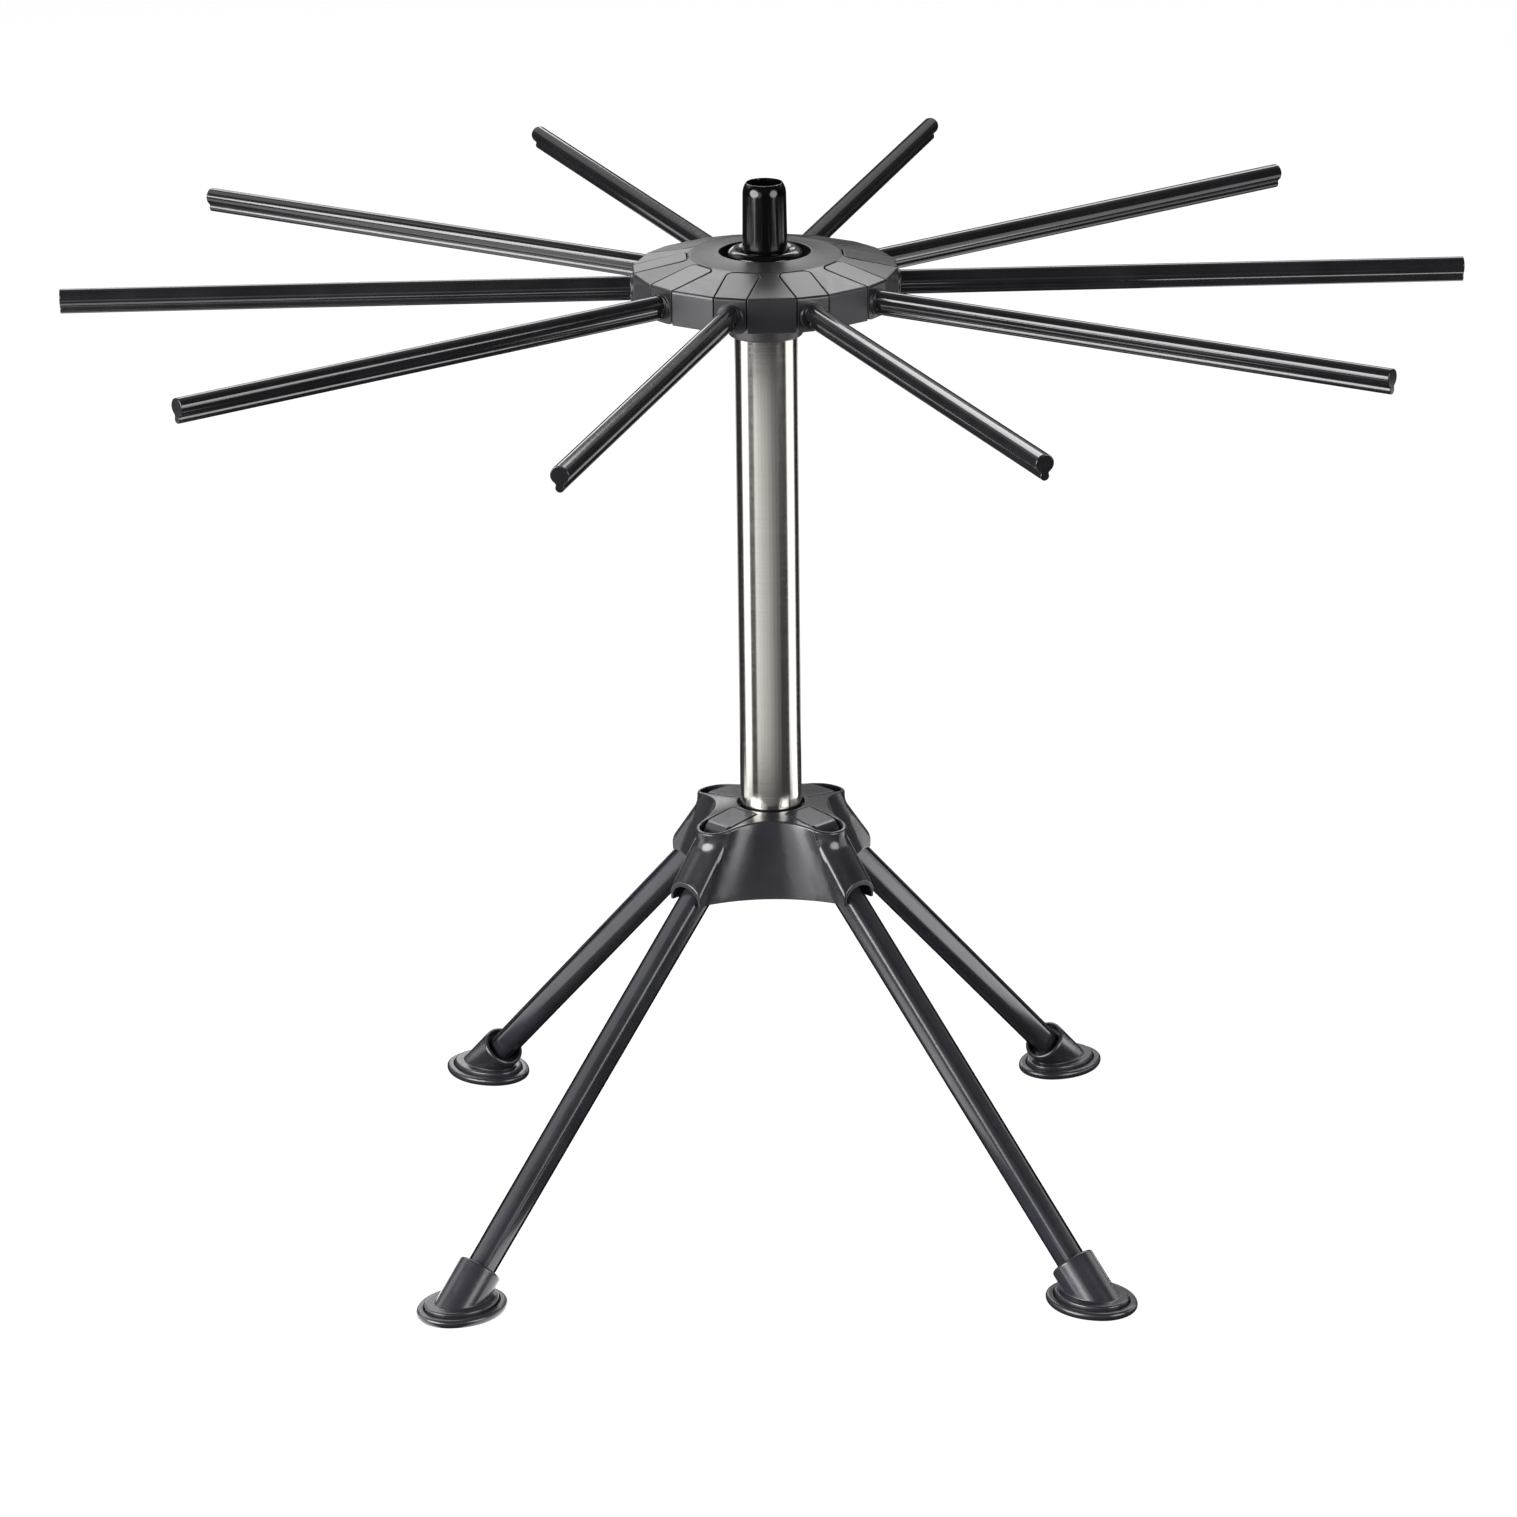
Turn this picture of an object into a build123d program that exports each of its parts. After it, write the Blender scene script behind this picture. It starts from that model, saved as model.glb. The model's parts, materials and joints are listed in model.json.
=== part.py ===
from build123d import *
from math import asin, cos, degrees, hypot, radians, sin, sqrt, tan
import os

# Pasta drying rack: ten arms fan out of a hub on a steel column, and four legs carry the column.
# The origin lies on the floor under the column, +Z is up, and all lengths are in millimetres.
# A reach or ring is measured from the column's axis.

os.makedirs("parts", exist_ok=True)

# How the rack stands, from the floor upwards
skirt_z = 121.0
base_height = 27.7
column_show = 172.6
neck_height = 12.2
rim_height = 12.2
facet_rise = 4.4
crown_rise = 1.1

base_top_z = skirt_z + base_height
neck_z = base_top_z + column_show
hub_z = neck_z + neck_height
rim_z = hub_z + rim_height
facet_z = rim_z + facet_rise
crown_z = facet_z + crown_rise

# Clearances: a bearing, a piece that moves past another, and how far a cut runs past its faces
fit_gap = 0.05
move_gap = 0.3
overrun = 6.0

# Steel column
tube_radius = 11.0
tube_wall = 1.0
socket_depth = 22.4
tube_bore = tube_radius - tube_wall
tube_z = base_top_z - socket_depth

# Hub
rim_radius = 46.4
rim_bevel = 0.5
hub_skirt = 1.8
recess_radius = 16.0
recess_depth = 4.7
neck_radius = 13.1
neck_round = 0.9
recess_z = crown_z - recess_depth

# Arms: a root block in a slot of the hub, and a round rod with a beaded keel
arm_count = 10
arm_turn = 2.7
arm_fold = 84.5
arm_tip_reach = 244.5
block_width = 11.3
block_length = 18.7
block_corner = 2.2
knuckle = 5.4
rod_height = 8.7
rod_radius = 3.1
keel_radius = 1.5
waist_round = 0.8
rod_end_round = 0.35
boss_radius = 4.6
boss_proud = 0.8

# Arm pins and the screws that close the hub
pin_radius = 1.5
pin_grip = 2.6
stop_ledge = 1.2
hub_screw_count = 5
hub_screw_ring = 39.4
hub_screw_radius = 1.5
hub_screw_length = 10.6
hub_screw_head_radius = 2.7
hub_screw_head = 1.7
drive_share = 0.55
drive_depth_share = 0.6

# Seat ring at the mouth of the column, and the wand that stands in it
ring_round = 2.6
ring_rise = 1.0
ring_foot = 1.5
ring_spigot = 10.9
ring_ledge = 1.6
wand_radius = 7.9
wand_shoulder_radius = 7.6
wand_mouth_radius = 6.2
wand_rise = 24.6
wand_shoulder = 4.3
wand_cup_depth = 12.0
wand_cup_taper = 0.5
wand_rod_radius = 2.5
wand_rod_length = 165.0
wand_rod_grip = 9.0

# Base: a domed top, four hollow sides, and four arched shrouds that the legs come out of
leg_count = 4
leg_azimuth = 45.0
dome_drop = 3.6
waist_top = 19.6
waist_bottom = 28.0
lobe_ring = 27.3
lobe_depth = 10.0
shroud_half = 7.4
shroud_arch = 5.5
shroud_spread = 38.4
shroud_reach = 44.0
shroud_peak_drop = 20.1
shroud_peak = base_height - shroud_peak_drop
cuff_lean = 0.4
skirt_reach = 40.0
channel_half = 6.2
channel_arch = 4.6
channel_roof = 1.9
flat_reach = 13.2
boss_wall = 3.2
mouth_radius = 12.2
mouth_depth = 3.2
skirt_wall = 1.8
base_roof = 4.4
cheek = 3.0
base_round = 0.8
lobe_blend = 8.0
web_blend = 9.0
crease_share = 0.3
keeper_disc = 23.0
keeper_plate = 2.4
keeper_slack = 0.9

# Legs
leg_spread = 44.8
leg_side = 9.0
leg_chamfer = 1.3
leg_draft = 0.1
leg_pin_reach = 21.0
leg_pin_drop = 9.7
leg_pin_z = base_top_z - leg_pin_drop
leg_pin_radius = 1.75
leg_pin_half = 8.6
head_half = 5.8
head_length = 13.2
head_edge = 0.8
leg_end = 9.5

# Feet
foot_reach = 155.3
foot_long = 17.3
foot_wide = 14.3
foot_end_share = 0.87
foot_rim = 2.9
foot_rim_width = 2.6
foot_rim_round = 1.3
foot_groove = 0.9
foot_step_inset = 3.1
foot_step = 4.4
foot_step_round = 0.8
socket_reach = 18.8
socket_radius = 8.0
socket_round = 1.1
socket_mouth_radius = 6.6
socket_mouth_depth = 3.5

# Screw that draws the column into the base
anchor_radius = 2.0
anchor_length = 16.0
anchor_head_radius = 3.6
anchor_head = 2.4
washer_radius = 6.0
washer_thickness = 0.8
plug_length = 14.0


def spot(azimuth, reach, side=0.0):
    """Plan position at this azimuth and reach, moved sideways."""
    a = radians(azimuth)
    return (reach * cos(a) - side * sin(a), reach * sin(a) + side * cos(a))


def radial(azimuth):
    """Upright plane through the column's axis: x runs outwards at this azimuth, and y runs up."""
    a = radians(azimuth)
    return Plane(origin=(0, 0, 0), x_dir=(cos(a), sin(a), 0), z_dir=(sin(a), -cos(a), 0))


def across(azimuth, reach, height=0.0):
    """Upright plane square to the azimuth at this reach: x runs sideways, and y runs up."""
    a = radians(azimuth)
    origin = (reach * cos(a), reach * sin(a), height)
    return Plane(origin=origin, x_dir=(-sin(a), cos(a), 0), z_dir=(cos(a), sin(a), 0))


def level(azimuth, height):
    """Level plane at this height whose x runs outwards at the azimuth."""
    a = radians(azimuth)
    return Plane(origin=(0, 0, height), x_dir=(cos(a), sin(a), 0), z_dir=(0, 0, 1))


def reach_of(item):
    """Distance of an edge's, face's or vertex's centre from the column's axis."""
    point = item.center()
    return hypot(point.X, point.Y)


arm_azimuths = [arm_turn + index * 360 / arm_count for index in range(arm_count)]
gap_azimuths = [azimuth + 180 / arm_count for azimuth in arm_azimuths]
leg_azimuths = [leg_azimuth + index * 360 / leg_count for index in range(leg_count)]
side_azimuths = [azimuth + 180 / leg_count for azimuth in leg_azimuths]

# Places inside the hub: each arm's pin is as far from the slot's end as from the block's underside,
# so that the rounded lower corner turns clear of both
slot_width = block_width + 2 * move_gap
corner_angle = degrees(asin(slot_width / 2 / rim_radius))
block_face = rim_radius * cos(radians(corner_angle))
block_inner = block_face - block_length
slot_inner = block_inner - move_gap
arm_z = hub_z + knuckle
arm_pin_reach = block_inner + knuckle
pin_half = slot_width / 2 + pin_grip
stop_reach = arm_pin_reach - knuckle * tan(radians(arm_fold / 2)) - move_gap


def rim_corners(radius):
    """Corners of the twenty-sided rim: narrow faces over the arms, wide faces between them."""
    angles = [azimuth + side * corner_angle for azimuth in arm_azimuths for side in (-1, 1)]
    return [(radius * cos(radians(angle)), radius * sin(radians(angle))) for angle in angles]


facet_fall = facet_rise / (rim_radius - slot_inner)


def facet_height(reach):
    """Height of the hub's sloping top over the middle of an arm."""
    return rim_z + (block_face - reach) * facet_fall / cos(radians(corner_angle))


# Hub cap: faceted crown, open slots for the arms, and a skirt that hides the lower half
bevel_z = rim_z + rim_bevel * facet_fall
with BuildPart() as hub_cap:
    with BuildSketch(Plane.XY.offset(hub_z)):
        Polygon(*rim_corners(rim_radius), align=None)
    extrude(amount=rim_height - rim_bevel)
    with BuildSketch(Plane.XY.offset(rim_z - rim_bevel)):
        Polygon(*rim_corners(rim_radius), align=None)
    with BuildSketch(Plane.XY.offset(bevel_z)):
        Polygon(*rim_corners(rim_radius - rim_bevel), align=None)
    loft(ruled=True)
    with BuildSketch(Plane.XY.offset(bevel_z)):
        Polygon(*rim_corners(rim_radius - rim_bevel), align=None)
    with BuildSketch(Plane.XY.offset(facet_z)):
        Polygon(*rim_corners(slot_inner), align=None)
    loft(ruled=True)
    crown_foot = slot_inner * cos(radians(180 / arm_count))
    with BuildSketch(Plane.XZ):
        Polygon(
            (0, rim_z),
            (crown_foot, rim_z),
            (crown_foot, facet_z),
            (recess_radius, crown_z),
            (0, crown_z),
            align=None,
        )
    revolve(axis=Axis.Z)
    with BuildSketch(Plane.XY.offset(recess_z)):
        Circle(recess_radius)
    extrude(amount=recess_depth + overrun, mode=Mode.SUBTRACT)
    with BuildSketch(Plane.XY.offset(hub_z)):
        Circle(tube_radius)
    extrude(amount=crown_z - hub_z, mode=Mode.SUBTRACT)
    with BuildSketch(Plane.XY.offset(hub_z)):
        Polygon(*rim_corners(rim_radius - hub_skirt), align=None)
    extrude(amount=knuckle, mode=Mode.SUBTRACT)
    with BuildSketch(Plane.XY.offset(hub_z)):
        for azimuth in arm_azimuths:
            slot = Polygon(
                spot(azimuth, slot_inner, -slot_width / 2),
                spot(azimuth, rim_radius + overrun, -slot_width / 2),
                spot(azimuth, rim_radius + overrun, slot_width / 2),
                spot(azimuth, slot_inner, slot_width / 2),
                align=None,
            )
            inner_corners = [corner for corner in slot.vertices() if reach_of(corner) < arm_pin_reach]
            fillet(inner_corners, radius=block_corner + move_gap)
    extrude(amount=crown_z - hub_z, mode=Mode.SUBTRACT)
    for azimuth in arm_azimuths:
        with BuildSketch(radial(azimuth)):
            with Locations((arm_pin_reach, arm_z)):
                Circle(pin_radius)
        extrude(amount=pin_half, both=True, mode=Mode.SUBTRACT)
    with BuildSketch(Plane.XY.offset(hub_z)):
        with PolarLocations(hub_screw_ring, hub_screw_count, start_angle=gap_azimuths[0]):
            Circle(hub_screw_radius)
    extrude(amount=hub_screw_length, mode=Mode.SUBTRACT)
hub_cap.part.label = "hub_cap"
export_step(hub_cap.part, "parts/hub_cap.step")

# Hub base: floor with the lower half of every pin seat, the ledges that stop the folded arms,
# and the collar round the column below
with BuildPart() as hub_base:
    with BuildSketch(Plane.XY.offset(neck_z)):
        Circle(neck_radius)
    extrude(amount=neck_height)
    fillet(hub_base.edges().sort_by(Axis.Z)[0], radius=neck_round)
    with BuildSketch(Plane.XY.offset(hub_z)):
        Polygon(*rim_corners(rim_radius - hub_skirt), align=None)
    extrude(amount=knuckle)
    with BuildSketch(Plane.XY.offset(neck_z)):
        Circle(tube_radius)
    extrude(amount=neck_height + knuckle, mode=Mode.SUBTRACT)
    for foot, inner in ((hub_z, stop_reach), (hub_z + stop_ledge, slot_inner)):
        with BuildSketch(Plane.XY.offset(foot)):
            for azimuth in arm_azimuths:
                Polygon(
                    spot(azimuth, inner, -slot_width / 2),
                    spot(azimuth, rim_radius, -slot_width / 2),
                    spot(azimuth, rim_radius, slot_width / 2),
                    spot(azimuth, inner, slot_width / 2),
                    align=None,
                )
        extrude(amount=arm_z - foot, mode=Mode.SUBTRACT)
    for azimuth in arm_azimuths:
        with BuildSketch(radial(azimuth)):
            with Locations((arm_pin_reach, arm_z)):
                Circle(pin_radius)
        extrude(amount=pin_half, both=True, mode=Mode.SUBTRACT)
    with BuildSketch(Plane.XY.offset(hub_z)):
        with PolarLocations(hub_screw_ring, hub_screw_count, start_angle=gap_azimuths[0]):
            Circle(hub_screw_radius)
    extrude(amount=knuckle, mode=Mode.SUBTRACT)
    with BuildSketch(Plane.XY.offset(hub_z)):
        with PolarLocations(hub_screw_ring, hub_screw_count, start_angle=gap_azimuths[0]):
            Circle(hub_screw_head_radius)
    extrude(amount=hub_screw_head, mode=Mode.SUBTRACT)
hub_base.part.label = "hub_base"
export_step(hub_base.part, "parts/hub_base.step")

# Hub screws, let in flush with the hub's underside
with BuildPart() as hub_screws:
    with BuildSketch(Plane.XY.offset(hub_z)):
        with PolarLocations(hub_screw_ring, hub_screw_count, start_angle=gap_azimuths[0]):
            Circle(hub_screw_head_radius)
    extrude(amount=hub_screw_head)
    with BuildSketch(Plane.XY.offset(hub_z)):
        with PolarLocations(hub_screw_ring, hub_screw_count, start_angle=gap_azimuths[0]):
            Circle(hub_screw_radius)
    extrude(amount=hub_screw_length)
    with BuildSketch(Plane.XY.offset(hub_z)):
        with PolarLocations(hub_screw_ring, hub_screw_count, start_angle=gap_azimuths[0]):
            RegularPolygon(hub_screw_head_radius * drive_share, 6)
    extrude(amount=hub_screw_head * drive_depth_share, mode=Mode.SUBTRACT)
hub_screws.part.label = "hub_screws"
export_step(hub_screws.part, "parts/hub_screws.step")

# Arm pins: one steel pin across every slot, held between the two halves of the hub
with BuildPart() as arm_pins:
    for azimuth in arm_azimuths:
        with BuildSketch(radial(azimuth)):
            with Locations((arm_pin_reach, arm_z)):
                Circle(pin_radius)
        extrude(amount=pin_half, both=True)
arm_pins.part.label = "arm_pins"
export_step(arm_pins.part, "parts/arm_pins.step")

# Arms: each turns about its pin, from level down beside the column
for number, azimuth in enumerate(arm_azimuths, start=1):
    with BuildPart() as arm:
        with BuildSketch(radial(azimuth)):
            half_turn = knuckle * sin(radians(45))
            knuckle_foot = (arm_pin_reach, hub_z)
            knuckle_back = (block_inner, arm_z)
            with BuildLine():
                Polyline(
                    knuckle_foot,
                    (block_face, hub_z),
                    (block_face, rim_z - rim_bevel),
                    (block_face - rim_bevel, facet_height(block_face - rim_bevel)),
                    (block_inner, facet_height(block_inner)),
                    knuckle_back,
                )
                ThreePointArc(knuckle_back, (arm_pin_reach - half_turn, arm_z - half_turn), knuckle_foot)
            make_face()
        extrude(amount=block_width / 2, both=True)
        upright = arm.edges().filter_by(Axis.Z)
        fillet([edge for edge in upright if reach_of(edge) < arm_pin_reach], radius=block_corner)
        with BuildSketch(across(azimuth, block_face, arm_z)):
            Circle(boss_radius)
        extrude(amount=boss_proud)
        with BuildSketch(across(azimuth, block_face, arm_z)) as section:
            with Locations((0, rod_height / 2 - rod_radius)):
                Circle(rod_radius)
            with Locations((0, keel_radius - rod_height / 2)):
                Circle(keel_radius)
            fillet(section.vertices(), radius=waist_round)
        extrude(amount=arm_tip_reach - block_face)
        fillet(arm.faces().sort_by(reach_of)[-1].edges(), radius=rod_end_round)
        with BuildSketch(radial(azimuth)):
            with Locations((arm_pin_reach, arm_z)):
                Circle(pin_radius + fit_gap)
        extrude(amount=block_width / 2, both=True, mode=Mode.SUBTRACT)
    arm_name = f"arm_{number:02d}"
    arm.part.label = arm_name
    export_step(arm.part, f"parts/{arm_name}.step")

# Steel column, from the floor of the base's socket up to the floor of the hub's recess
with BuildPart() as column_tube:
    with BuildSketch(Plane.XY.offset(tube_z)):
        Circle(tube_radius)
        Circle(tube_bore, mode=Mode.SUBTRACT)
    extrude(amount=recess_z - tube_z)
column_tube.part.label = "column_tube"
export_step(column_tube.part, "parts/column_tube.step")

# Seat ring: a round bead over the column's mouth, and a spigot inside it with a ledge for the wand
well_radius = wand_radius + move_gap
bead_ring = well_radius + ring_round
bead_z = crown_z + ring_rise - ring_round
ledge_z = recess_z - ring_spigot
with BuildPart() as seat_ring:
    with BuildSketch(Plane.XZ):
        with Locations((bead_ring, bead_z)):
            Circle(ring_round)
        Polygon(
            (well_radius, bead_z),
            (well_radius, ledge_z + ring_ledge),
            (wand_rod_radius + move_gap, ledge_z + ring_ledge),
            (wand_rod_radius + move_gap, ledge_z),
            (tube_bore, ledge_z),
            (tube_bore, recess_z),
            (bead_ring + ring_foot, recess_z),
            (bead_ring + ring_foot, bead_z),
            align=None,
        )
    revolve(axis=Axis.Z)
seat_ring.part.label = "seat_ring"
export_step(seat_ring.part, "parts/seat_ring.step")

# Wand handle: a smooth knob with a cupped top, standing on the ledge of the seat ring
handle_z = ledge_z + ring_ledge
handle_top_z = crown_z + wand_rise
with BuildPart() as wand_handle:
    with BuildSketch(Plane.XZ):
        shoulder = (wand_shoulder_radius, handle_top_z - wand_shoulder)
        with BuildLine():
            Polyline(
                (wand_mouth_radius, handle_top_z),
                (wand_mouth_radius - wand_cup_taper, handle_top_z - wand_cup_depth),
                (0, handle_top_z - wand_cup_depth),
                (0, handle_z),
                (wand_radius, handle_z),
                (wand_radius, bead_z),
                shoulder,
            )
            TangentArc(shoulder, (wand_mouth_radius, handle_top_z), tangent=(0, 1))
        make_face()
    revolve(axis=Axis.Z)
    with BuildSketch(Plane.XY.offset(handle_z)):
        Circle(wand_rod_radius)
    extrude(amount=wand_rod_grip, mode=Mode.SUBTRACT)
wand_handle.part.label = "wand_handle"
export_step(wand_handle.part, "parts/wand_handle.step")

# Wand rod: hangs inside the column
with BuildPart() as wand_rod:
    with BuildSketch(Plane.XY.offset(handle_z + wand_rod_grip)):
        Circle(wand_rod_radius)
    extrude(amount=-wand_rod_length - wand_rod_grip)
    fillet(wand_rod.edges().sort_by(Axis.Z)[0], radius=wand_rod_radius / 2)
wand_rod.part.label = "wand_rod"
export_step(wand_rod.part, "parts/wand_rod.step")

# Shape of the base: the dome is part of a ball, and the shrouds run down a little steeper than the legs
dome_edge = lobe_ring + shroud_half
dome_ball = dome_edge**2 / (2 * dome_drop) + dome_drop / 2
shroud_fall = 1 / tan(radians(shroud_spread))
peak_z = skirt_z + shroud_peak


def dome_height(reach):
    """Height of the base's domed top."""
    return base_top_z - dome_ball + sqrt(dome_ball**2 - reach**2)


def waist_outline(share, inset=0.0):
    """Outline of the base with its four hollow sides, at this share of its height, into a sketch."""
    middle = waist_bottom + (waist_top - waist_bottom) * share - inset
    corner = skirt_reach + (lobe_ring - skirt_reach) * share - inset
    with BuildLine() as outline:
        for azimuth in leg_azimuths:
            following = azimuth + 360 / leg_count
            start = spot(azimuth, corner, shroud_half)
            end = spot(following, corner, -shroud_half)
            ThreePointArc(start, spot(azimuth + 180 / leg_count, middle), end)
            Line(end, spot(following, corner, shroud_half))
    make_face(outline.edges())


def down_along(azimuth, spread):
    """Direction that runs outwards at the azimuth and down, turned this far from the vertical."""
    a = radians(azimuth)
    s = radians(spread)
    return (cos(a) * sin(s), sin(a) * sin(s), -cos(s))


# Base shell
with BuildPart() as base_shell:
    shroud_run = (shroud_reach - lobe_ring + overrun) / sin(radians(shroud_spread))
    for azimuth in leg_azimuths:
        with BuildSketch(across(azimuth, lobe_ring)):
            crown = peak_z + (shroud_reach - lobe_ring) * shroud_fall
            with Locations((0, crown - shroud_arch)):
                Ellipse(shroud_half, shroud_arch)
                Rectangle(2 * shroud_half, crown - shroud_arch - skirt_z, align=(Align.CENTER, Align.MAX))
        extrude(amount=shroud_run, dir=down_along(azimuth, shroud_spread))
    for azimuth in leg_azimuths:
        with BuildSketch(radial(azimuth)):
            lean = cuff_lean / shroud_peak
            low = skirt_z - lobe_ring
            Polygon(
                (shroud_reach - (peak_z - low) * lean, low),
                (shroud_reach + overrun * lean, peak_z + overrun),
                (shroud_reach + lobe_ring, peak_z + overrun),
                (shroud_reach + lobe_ring, low),
                align=None,
            )
        extrude(amount=shroud_half + overrun, both=True, mode=Mode.SUBTRACT)
    with BuildSketch(Plane.XY.offset(skirt_z)):
        Circle(shroud_reach + overrun)
    extrude(amount=-lobe_ring - overrun, mode=Mode.SUBTRACT)
    with BuildSketch(Plane.XY.offset(skirt_z)):
        waist_outline(0)
    with BuildSketch(Plane.XY.offset(base_top_z)):
        waist_outline(1)
    loft(ruled=True)
    with BuildSketch(Plane.XY.offset(base_top_z - lobe_depth)):
        with PolarLocations(lobe_ring, leg_count, start_angle=leg_azimuth):
            Circle(shroud_half)
    extrude(amount=lobe_depth)
    with BuildSketch(Plane.XZ):
        far = shroud_reach + overrun
        with BuildLine():
            ThreePointArc((0, base_top_z), (lobe_ring, dome_height(lobe_ring)), (far, dome_height(far)))
            Polyline((far, dome_height(far)), (far, skirt_z), (0, skirt_z), (0, base_top_z))
        make_face()
    revolve(axis=Axis.Z, mode=Mode.INTERSECT)
    fillet(base_shell.faces().filter_by(GeomType.SPHERE).edges(), radius=base_round)
    lobe_creases = []
    for azimuth in leg_azimuths:
        crease_z = peak_z + (shroud_reach - dome_edge) * shroud_fall
        lobe_creases += base_shell.edges().sort_by_distance((*spot(azimuth, dome_edge), crease_z))[:1]
    fillet(lobe_creases, radius=lobe_blend)
    web_creases = []
    for azimuth in leg_azimuths:
        for side in (-shroud_half, shroud_half):
            corner = skirt_reach + (lobe_ring - skirt_reach) * crease_share
            crease_point = (*spot(azimuth, corner, side), skirt_z + base_height * crease_share)
            web_creases += base_shell.edges().sort_by_distance(crease_point)[:1]
    fillet(web_creases, radius=web_blend)
    with BuildSketch(Plane.XY.offset(tube_z)):
        Circle(tube_radius)
    extrude(amount=base_height, mode=Mode.SUBTRACT)
    with BuildSketch(Plane.XY.offset(base_top_z - mouth_depth)):
        Circle(mouth_radius)
    extrude(amount=mouth_depth, mode=Mode.SUBTRACT)
    with BuildSketch(Plane.XY.offset(skirt_z)):
        Circle(anchor_radius + fit_gap)
    extrude(amount=base_height, mode=Mode.SUBTRACT)
    with BuildSketch(Plane.XY.offset(skirt_z)):
        Circle(keeper_disc)
    extrude(amount=keeper_plate, mode=Mode.SUBTRACT)
    channel_run = (shroud_reach - flat_reach + overrun) / sin(radians(shroud_spread))
    for azimuth in leg_azimuths:
        with BuildSketch(across(azimuth, flat_reach)):
            crown = peak_z - channel_roof + (shroud_reach - flat_reach) * shroud_fall
            with Locations((0, crown - channel_arch)):
                Ellipse(channel_half, channel_arch)
                Rectangle(2 * channel_half, crown - skirt_z, align=(Align.CENTER, Align.MAX))
        extrude(amount=channel_run, dir=down_along(azimuth, shroud_spread), mode=Mode.SUBTRACT)
        with BuildSketch(level(azimuth, leg_pin_z)):
            with Locations((lobe_ring, 0)):
                Circle(channel_half)
                Rectangle(lobe_ring - flat_reach, 2 * channel_half, align=(Align.MAX, Align.CENTER))
        extrude(amount=base_height, mode=Mode.SUBTRACT)
    roof_share = 1 - base_roof / base_height
    wedge_tip = (channel_half + cheek) * sqrt(2)
    for azimuth in side_azimuths:
        for share in (0, roof_share):
            with BuildSketch(Plane.XY.offset(skirt_z + share * base_height)):
                waist_outline(share, skirt_wall)
                Polygon(
                    spot(azimuth, wedge_tip),
                    spot(azimuth, wedge_tip + shroud_reach, -shroud_reach),
                    spot(azimuth, wedge_tip + shroud_reach, shroud_reach),
                    align=None,
                    mode=Mode.INTERSECT,
                )
                Circle(tube_radius + boss_wall, mode=Mode.SUBTRACT)
        loft(ruled=True, mode=Mode.SUBTRACT)
    for azimuth in leg_azimuths:
        with BuildSketch(radial(azimuth)):
            with Locations((leg_pin_reach, leg_pin_z)):
                Circle(leg_pin_radius)
                Rectangle(2 * leg_pin_radius, leg_pin_z - skirt_z, align=(Align.CENTER, Align.MAX))
        extrude(amount=channel_half + cheek, both=True, mode=Mode.SUBTRACT)
base_shell.part.label = "base_shell"
export_step(base_shell.part, "parts/base_shell.step")

# Base keeper: plate under the base with eight posts that hold the leg pins up in their seats
with BuildPart() as base_keeper:
    with BuildSketch(Plane.XY.offset(skirt_z)):
        waist_outline(0, skirt_wall + keeper_slack)
        for azimuth in leg_azimuths:
            Polygon(
                spot(azimuth, 0, -channel_half - cheek),
                spot(azimuth, shroud_reach, -channel_half - cheek),
                spot(azimuth, shroud_reach, channel_half + cheek),
                spot(azimuth, 0, channel_half + cheek),
                align=None,
                mode=Mode.SUBTRACT,
            )
        Circle(keeper_disc)
        for azimuth in leg_azimuths:
            Polygon(
                spot(azimuth, flat_reach, -channel_half),
                spot(azimuth, shroud_reach, -channel_half),
                spot(azimuth, shroud_reach, channel_half),
                spot(azimuth, flat_reach, channel_half),
                align=None,
                mode=Mode.SUBTRACT,
            )
    extrude(amount=keeper_plate)
    with BuildSketch(Plane.XY.offset(skirt_z)):
        for azimuth in leg_azimuths:
            for side in (-1, 1):
                near = side * channel_half
                away = side * (channel_half + cheek)
                Polygon(
                    spot(azimuth, leg_pin_reach - leg_pin_radius, near),
                    spot(azimuth, leg_pin_reach + leg_pin_radius, near),
                    spot(azimuth, leg_pin_reach + leg_pin_radius, away),
                    spot(azimuth, leg_pin_reach - leg_pin_radius, away),
                    align=None,
                )
    extrude(amount=leg_pin_z - leg_pin_radius - skirt_z)
    with BuildSketch(Plane.XY.offset(skirt_z)):
        Circle(anchor_radius + fit_gap)
    extrude(amount=keeper_plate, mode=Mode.SUBTRACT)
base_keeper.part.label = "base_keeper"
export_step(base_keeper.part, "parts/base_keeper.step")

# Plug in the foot of the column, for the screw that comes up through the base
with BuildPart() as tube_plug:
    with BuildSketch(Plane.XY.offset(tube_z)):
        Circle(tube_bore)
        Circle(anchor_radius, mode=Mode.SUBTRACT)
    extrude(amount=plug_length)
tube_plug.part.label = "tube_plug"
export_step(tube_plug.part, "parts/tube_plug.step")

# Washer and screw under the base
with BuildPart() as anchor_washer:
    with BuildSketch(Plane.XY.offset(skirt_z)):
        Circle(washer_radius)
        Circle(anchor_radius + fit_gap, mode=Mode.SUBTRACT)
    extrude(amount=-washer_thickness)
anchor_washer.part.label = "anchor_washer"
export_step(anchor_washer.part, "parts/anchor_washer.step")

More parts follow.
